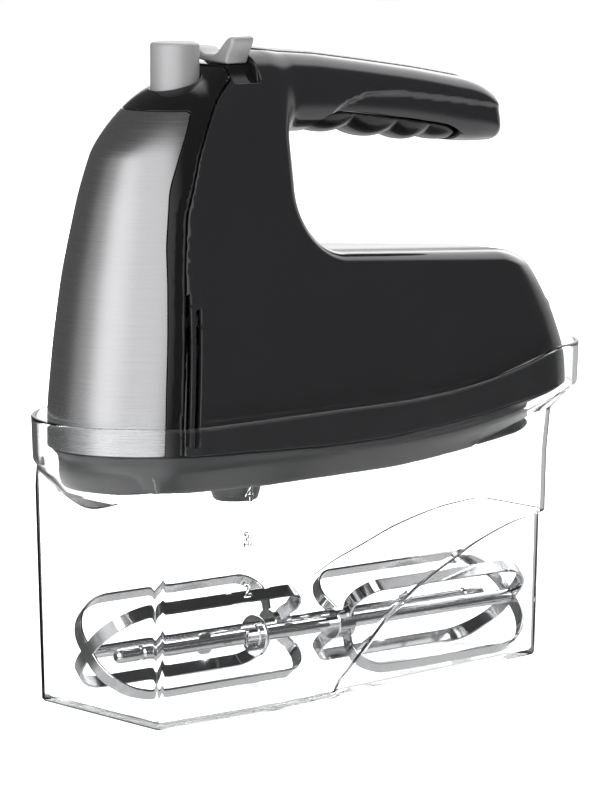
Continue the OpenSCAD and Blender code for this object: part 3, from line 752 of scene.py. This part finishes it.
TUB_FRONT, TUB_REAR, TUB_HALF_W, TUB_REAR_HALF = -112.0, 107.5, 38.4, 21.8
TUB_TOP, TUB_FLARE = 86.0, 2.0
WALL = 2.0


def tub_half():
    """Half outline of the tub at its foot, from the rear middle to the front middle."""
    soft, tight = 7.0, 2.6
    a = np.linspace(0, np.pi / 2, 9)[:-1]
    x, y, w, f = TUB_REAR - soft, TUB_REAR_HALF, TUB_HALF_W, TUB_FRONT
    line = spread((TUB_REAR, 0), (TUB_REAR, y - soft), 6)
    line += [(x + soft * math.cos(q), y - soft + soft * math.sin(q)) for q in a]
    line += spread((x, y), (-46, w - 0.35), 56) + spread((-46, w - 0.35), (-52, w - 0.05), 3)
    line += spread((-52, w - 0.05), (-58, w), 3) + spread((-58, w), (f + tight, w), 24)
    line += [(f + tight - tight * math.sin(q), w - tight + tight * math.cos(q)) for q in a]
    line += spread((f, w - tight), (f, 0), 18) + [(f, 0)]
    return np.array(line)


TUB = tub_half()
TUB_SHARE = run_of(TUB) / run_of(TUB)[-1]
along = np.gradient(TUB, axis=0)
TUB_OUT = np.stack([along[:, 1], -along[:, 0]], 1)
TUB_OUT /= np.linalg.norm(TUB_OUT, axis=1, keepdims=True)


def collar_half(grow):
    """Half outline of the collar, with its points at the same shares of the way as the tub's."""
    x1, r1, x2, r2 = -87.5, 45.0 + grow, 99.5, 33.0 + grow
    t = math.acos((r1 - r2) / (x2 - x1))
    line = [(x2 + r2 * math.cos(q), r2 * math.sin(q)) for q in np.linspace(0, t, 30)]
    line += [(x1 + r1 * math.cos(q), r1 * math.sin(q)) for q in np.linspace(t, np.pi, 30)]
    line = np.array(line)
    d = run_of(line)
    return np.stack([np.interp(TUB_SHARE * d[-1], d, line[:, i]) for i in (0, 1)], 1)


def rim_height(x):
    """Height of the collar's upper edge."""
    return 117 + 14 * np.clip(x / 104, 0, 1) ** 2.3


def shoulder(x):
    """Height at which the collar starts."""
    return 100 + 12.5 * np.clip(x / 108, 0, 1.05) ** 2.2


# height of the S-shaped step in the wall, below which the wall is set in
swoosh = table([(-30, -6), (-23.5, 0.9), (-7.4, 12.7), (0.7, 19.4), (15.9, 31.8), (33.2, 41), (46.4, 45.9),
                (62.1, 52.2), (75.3, 55.9), (87.4, 58.6), (106.2, 60.6), (140, 60.8)], 3)
PANEL_DEEP = 2.4


def case_surface(grow, ground):
    """Rows of the case wall, floor level first."""
    rows = []
    sw = np.maximum(swoosh(TUB[:, 0]), 2.6)
    strong = step(2.6, 7.0, sw)
    levels = [ground + (sw - 0.9 - ground) * t for t in (0.0, 0.3, 0.6, 0.85, 0.94)]
    levels += [sw - 0.9, sw - 0.55, sw, sw + 0.55, sw + 0.9]
    levels += [sw + 0.9 + (TUB_TOP - sw - 0.9) * t for t in (0.06, 0.25, 0.5, 0.75, 1.0)]
    for z in levels:
        dent = PANEL_DEEP * strong * (1 - step(-0.75, 0.75, z - sw))
        q = TUB + TUB_OUT * (grow + TUB_FLARE * z / TUB_TOP - dent)[:, None]
        rows.append(np.column_stack([q, z]))
    tub_top = rows[-1][:, :2]
    col = collar_half(grow - 0.6)
    dip = 9 * np.exp(-(tub_top[:, 1] / 20.0) ** 2) * step(-60, -100, tub_top[:, 0])
    sh = shoulder(col[:, 0])
    for t, drop in ((0.12, 10.5), (0.45, 6.2), (0.8, 2.6), (0.97, 0.7)):
        q = tub_top * (1 - t) + col * t
        rows.append(np.column_stack([q, sh - drop - dip * (1 - t) * 0.9]))
    rim = collar_half(grow)
    high = rim_height(rim[:, 0])
    rows.append(np.column_stack([col, sh + 0.2]))
    rows.append(np.column_stack([collar_half(grow - 0.45), sh + 3]))
    rows.append(np.column_stack([collar_half(grow - 0.1), high - 2.0]))
    rows.append(np.column_stack([rim, high - 0.5]))
    return rows


def full(row):
    """Whole ring from a half row."""
    return np.concatenate([row, row[1:-1][::-1] * np.array([1, -1, 1])])


def fill(at, n, flip):
    """Floor over a ring of n points that starts at index at, as strips between its two sides."""
    out = []
    last = len(TUB) - 1
    for i in range(last):
        c = at + (n - i - 1 if i + 1 < last else last)
        d = at + (n - i if i > 0 else 0)
        q = [at + i, at + i + 1, c, d]
        q = [v for k, v in enumerate(q) if v not in q[:k]]
        if len(q) > 2:
            out.append(q[::-1] if flip else q)
    return out


def case_mesh():
    outer, inner = case_surface(0.0, 0.9), case_surface(-WALL, 3.0)
    lip = [outer[-1] * t + inner[-1] * (1 - t) + (0, 0, 0.5) for t in (0.85, 0.15)]
    under, bottom = outer[0] * (0.994, 0.985, 0), inner[0] * (0.99, 0.98, 0) + (0, 0, 2.2)
    rings = [full(q) for q in [under] + outer + lip + inner[::-1] + [bottom]]
    pts, faces = rings_mesh(rings, cap=False)
    n = len(rings[0])
    faces += fill(0, n, True) + fill((len(rings) - 1) * n, n, False)
    return pts, faces


pts, faces = case_mesh()
piece("storage_case", pts, faces, clear, "case", ["storage_case"], angle=28)


# raised measuring marks on the near wall
MARK_X = -69
MARKS = (("1", 30.5), ("2", 50.3), ("3", 70.0), ("4", 88.0))


def digit(text, wall, z):
    """A number standing on the wall at height z, as points and faces."""
    cu = bpy.data.curves.new("mark", "FONT")
    cu.body = text
    cu.size = 0.0082
    cu.extrude = 0.0005
    cu.bevel_depth = 0.00025
    cu.bevel_resolution = 0
    cu.align_x = "CENTER"
    cu.align_y = "CENTER"
    ob = bpy.data.objects.new("mark_" + text, cu)
    bpy.context.scene.collection.objects.link(ob)
    ob.rotation_euler = (math.pi / 2, 0, 0)
    ob.location = (MARK_X * MM, -(wall + 0.15) * MM, z * MM)
    bpy.context.view_layer.update()
    me = bpy.data.meshes.new_from_object(ob.evaluated_get(bpy.context.evaluated_depsgraph_get()))
    me.transform(ob.matrix_world)
    bpy.data.objects.remove(ob)
    return np.array([v.co for v in me.vertices]) / MM, [list(q.vertices) for q in me.polygons]


def dash(x, wall, z):
    """A short bar standing on the wall."""
    outline = ((-1.5, -0.35), (1.5, -0.35), (1.5, 0.35), (-1.5, 0.35))
    return rings_mesh([[(x + a, -(wall - 0.05) - deep, z + c) for a, c in outline] for deep in (0, 0.6)])


def marks():
    parts = []
    for text, z in MARKS:
        wall = TUB_HALF_W + TUB_FLARE * z / TUB_TOP
        parts += [digit(text, wall, z), dash(MARK_X - 9.6, wall, z), dash(MARK_X + 9.6, wall, z)]
    return join(*parts)


pts, faces = marks()
piece("measuring_marks", pts, faces, clear, "case", smooth=False)


# ---------- beaters ----------
CAGE_R, CAGE_L, BEATER_L, WIRE = 23.9, 98.0, 208.0, 2.9
LUG_BACK, COLLAR_BACK = 43, 69      # from the shaft's end
TIP_1, TIP_2, BEATER_Y1, BEATER_Y2, BEATER_Z = -107, 104.5, 13, -1.5, 22.5


def place(points, which):
    """Beater drawn along +Z from its tip, laid in the case."""
    x, y, z = np.array(points, float).T
    if which == 1:
        return np.stack([TIP_1 + z, BEATER_Y1 + y, BEATER_Z - x], 1)
    return np.stack([TIP_2 - z, BEATER_Y2 + y, BEATER_Z + x], 1)


def loop_line():
    """Centre line of one strip in the plane of x and z, tip at z = 0."""
    line = []
    for q in np.linspace(0, np.pi / 2, 16):
        line.append((4.0 + (CAGE_R - 4.0) * math.sin(q), 0.9 + 22.0 * (1 - math.cos(q))))
    for z in np.linspace(26, CAGE_L - 12, 16):
        line.append((CAGE_R, z))
    for q in np.linspace(0.1, np.pi / 2 + 0.25, 12):
        line.append((CAGE_R - 10 + 10 * math.cos(q), CAGE_L - 11 + 10 * math.sin(q)))
    line.append((WIRE - 0.2, CAGE_L - 5.0))
    return np.array([(-x, z) for x, z in line[::-1]] + [(0, 0.9)] + line)


def strip(turn):
    """One flat loop of the cage, turned about the shaft by turn degrees."""
    c = loop_line()
    d = np.gradient(c, axis=0)
    d /= np.linalg.norm(d, axis=1, keepdims=True)
    n = np.stack([d[:, 1], -d[:, 0]], 1)
    section = [(-0.5, -2.6), (-0.36, -2.75), (0.36, -2.75), (0.5, -2.6),
               (0.5, 2.6), (0.36, 2.75), (-0.36, 2.75), (-0.5, 2.6)]
    rows = [[(p[0] + m[0] * a, b, p[1] + m[1] * a) for a, b in section] for p, m in zip(c, n)]
    pts, faces = rings_mesh(rows)
    t = math.radians(turn)
    x, y, z = pts.T
    return np.stack([x * math.cos(t) - y * math.sin(t), x * math.sin(t) + y * math.cos(t), z], 1), faces


def lug(s):
    """Flat lug on the shaft, on the side that s gives."""
    outline = ((-1, -1), (1, -1), (1, 1), (-1, 1)) if s > 0 else ((-1, 1), (1, 1), (1, -1), (-1, -1))
    return rings_mesh([[(s * x, b * 0.9 * g, BEATER_L - LUG_BACK + a * 3.0 * g) for a, b in outline][::-1]
                       for x, g in ((WIRE - 0.6, 1.0), (WIRE + 0.9, 0.85), (WIRE + 1.35, 0.5))])


def beater(which):
    """Beater in three pieces: crossed blades, shaft with its groove and lugs, and hub."""
    body = f"beater_{which}"

    def chromed(part, mesh):
        name = f"{body}_{part}"
        piece(name, place(mesh[0], which), mesh[1], chrome, body, [name], angle=35)

    chromed("blades", join(strip(45), strip(-45)))
    r, end = WIRE, BEATER_L
    profile = [(0, 1.6), (r - 0.5, 1.6), (r, 2.2), (r, end - 13.2), (r - 0.5, end - 12.9),
               (r - 0.9, end - 12.2), (r - 0.9, end - 11.8), (r - 0.5, end - 11.1), (r, end - 10.8),
               (r, end - 2.2), (r - 0.3, end - 1.2), (r - 0.9, end - 0.4), (r - 1.4, end), (0, end)]
    shaft = lathe(profile, (0, 0), 40, closed=False)
    chromed("shaft", join(shaft, lug(-1), lug(1)))
    chromed("hub", lathe([(r, CAGE_L - 7.2), (6.0, CAGE_L - 7.2), (6.4, CAGE_L - 6.8), (6.4, CAGE_L + 1.2),
                          (6.0, CAGE_L + 1.7), (r, CAGE_L + 1.7)], (0, 0), 48))


beater(1)
beater(2)
# disc on the second shaft
at = BEATER_L - COLLAR_BACK
disc = lathe([(WIRE, at - 0.9), (7.9, at - 0.9), (8.3, at - 0.6), (8.5, at - 0.2), (8.5, at + 0.2),
              (8.3, at + 0.6), (7.9, at + 0.9), (5.0, at + 0.9), (4.6, at + 1.5), (WIRE, at + 1.5)],
             (0, 0), 64)
piece("beater_2_collar", place(disc[0], 2), disc[1], chrome, "beater_2", ["beater_2_collar"],
      angle=35)

# ---------- floor and light ----------
def floor_material():
    """Pale floor that reflections look past, so that gloss shows only the soft surroundings."""
    m, tree, surface = new_material("floor", {"Base Color": (0.93, 0.93, 0.93, 1), "Roughness": 0.6,
                                              "Emission Color": (1, 1, 1, 1), "Emission Strength": 0.5})
    reflected = add_node(tree, "Math", {"operation": "GREATER_THAN"})
    feed(tree, reflected.inputs[0], add_node(tree, "LightPath").outputs["Glossy Depth"])
    feed(tree, reflected.inputs[1], 0.5)
    choose(tree, reflected.outputs[0], surface, add_node(tree, "BsdfTransparent"))
    return m


bpy.ops.mesh.primitive_plane_add(size=8, location=(0, 0, 0))
floor = bpy.context.object
floor.name = "floor"
floor.data.materials.append(floor_material())


def lamp(name, direction, distance, size, power):
    """Soft rectangular lamp aimed at the object's middle and left out of reflections."""
    d = Vector(direction).normalized()
    li = bpy.data.lights.new(name, "AREA")
    li.shape = "RECTANGLE"
    li.size, li.size_y = size
    li.energy = power
    ob = bpy.data.objects.new(name, li)
    bpy.context.scene.collection.objects.link(ob)
    ob.location = Vector((0, 0, 0.13)) + d * distance
    ob.rotation_mode = "QUATERNION"
    ob.rotation_quaternion = (-d).to_track_quat("-Z", "Y")
    ob.visible_glossy = False


lamp("key", (-0.85, -0.5, 0.5), 1.7, (1.2, 1.4), 24)
lamp("top", (0.1, 0.1, 1.0), 1.6, (1.8, 1.8), 34)
lamp("back", (0.6, 0.8, 0.6), 1.9, (1.6, 1.6), 26)
bpy.context.scene.view_settings.view_transform = "Standard"

# surroundings: dim, with soft bright patches; the camera itself sees plain white
world = bpy.data.worlds.new("studio")
bpy.context.scene.world = world
world.use_nodes = True
sky = world.node_tree
looking = add_node(sky, "TexCoord").outputs["Generated"]
height = add_node(sky, "SeparateXYZ", inputs={"Vector": looking}).outputs["Z"]


def rise(source, low, high, amount):
    """Smooth change from 0 to amount while the source goes from low to high."""
    return add_node(sky, "MapRange", {"interpolation_type": "SMOOTHSTEP"},
                    {"From Min": low, "From Max": high, "To Max": amount, "Value": source}).outputs["Result"]


def calc(kind, a, b):
    node = add_node(sky, "Math", {"operation": kind})
    feed(sky, node.inputs[0], a)
    feed(sky, node.inputs[1], b)
    return node.outputs[0]


def glow(direction, inner, outer, amount):
    """Soft round patch of light, its edge from inner to outer degrees off its middle."""
    dot = add_node(sky, "VectorMath", {"operation": "DOT_PRODUCT"})
    feed(sky, dot.inputs[0], looking)
    feed(sky, dot.inputs[1], Vector(direction).normalized())
    return rise(dot.outputs["Value"], math.cos(math.radians(outer)), math.cos(math.radians(inner)), amount)


def around(azimuth, up):
    """Direction at an azimuth in degrees from +X, with a rise of up."""
    a = math.radians(azimuth)
    return math.cos(a), math.sin(a), up


light = 0.115
above_floor = rise(height, 0.0, 0.1, 1.0)
patches = (glow(around(-147, 0.16), 34, 60, 0.95), glow(around(168, 0.1), 8, 45, 0.4),
           glow((0.72, 0.25, 0.64), 22, 36, 1.5), glow(around(20, 0), 16, 40, 0.4),
           calc("MULTIPLY", glow(around(43, 0.17), 12, 24, 1.0), above_floor), rise(height, -0.2, -0.5, 0.7))
for patch in patches:
    light = calc("ADD", light, patch)
seen = add_node(sky, "LightPath").outputs["Is Camera Ray"]
strength = add_node(sky, "Mix", {"data_type": "FLOAT"}, {"Factor": seen, "A": light, "B": 1.0})
background = sky.nodes["Background"]
background.inputs["Color"].default_value = (1, 1, 1, 1)
feed(sky, background.inputs["Strength"], strength.outputs["Result"])

bpy.context.view_layer.update()
